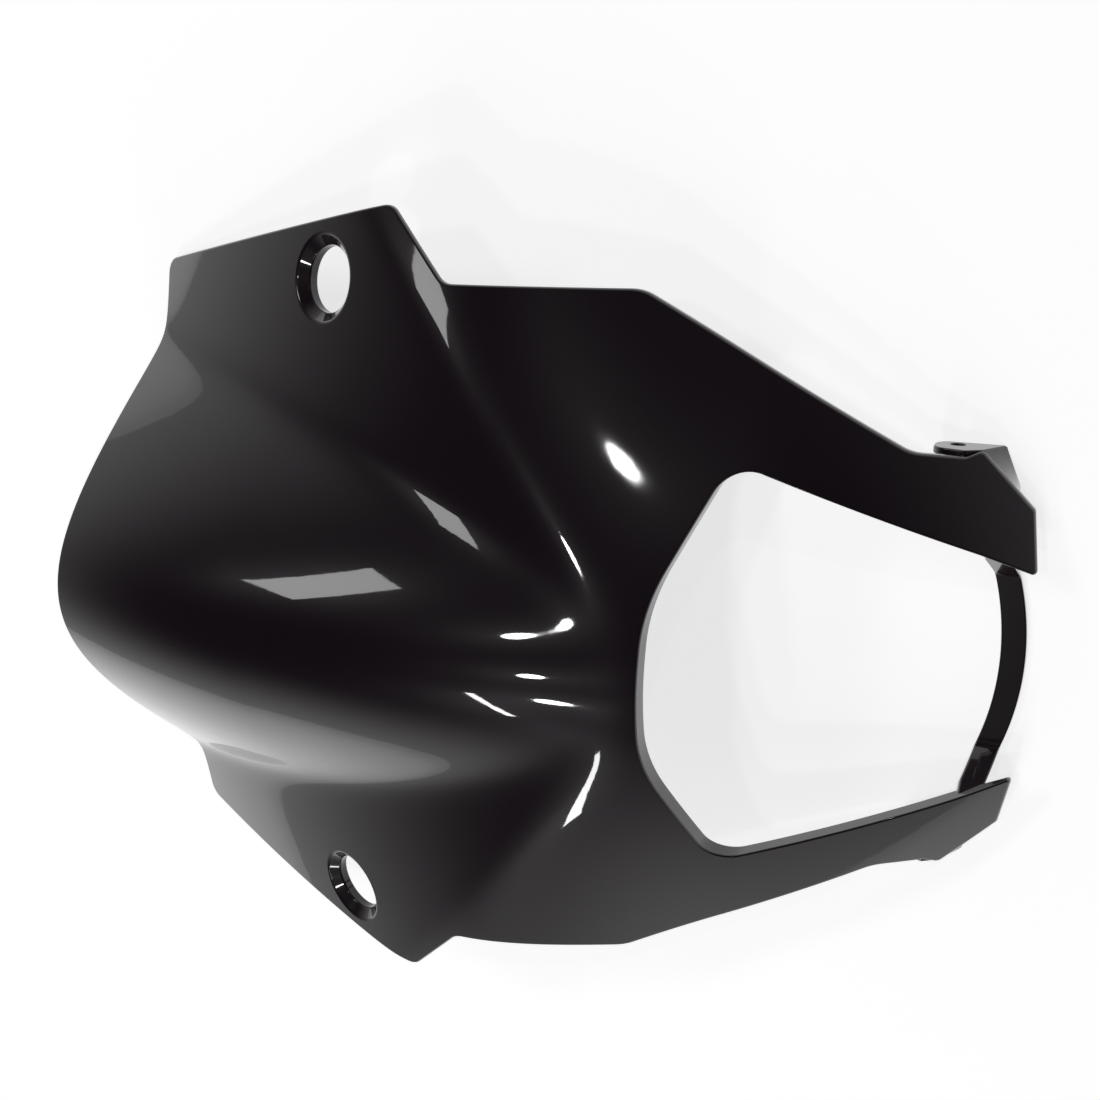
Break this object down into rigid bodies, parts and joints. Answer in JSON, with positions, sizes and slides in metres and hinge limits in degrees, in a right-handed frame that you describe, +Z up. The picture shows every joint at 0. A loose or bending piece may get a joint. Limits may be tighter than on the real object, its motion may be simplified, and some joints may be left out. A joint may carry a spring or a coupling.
{
  "type": "motorcycle windshield",
  "caption": "One-piece moulded motorcycle windshield and headlight cowl: domed screen, scooped ears with round holes, six-sided lamp opening, arms with side lugs and a chin strap.",
  "frame": {"origin": "centre of the footprint, on the surface it lies on, front face up", "axes": "+X to the right ear as seen from above with the screen rim away, +Y from the chin to the screen rim, +Z up out of the front face"},
  "size_m": [0.349, 0.4202, 0.1173],
  "materials": {
    "gloss_black": "high-gloss moulded black"
  },
  "bodies": {
    "root": {"windshield_cowl": "gloss_black"}
  },
  "joints": []
}
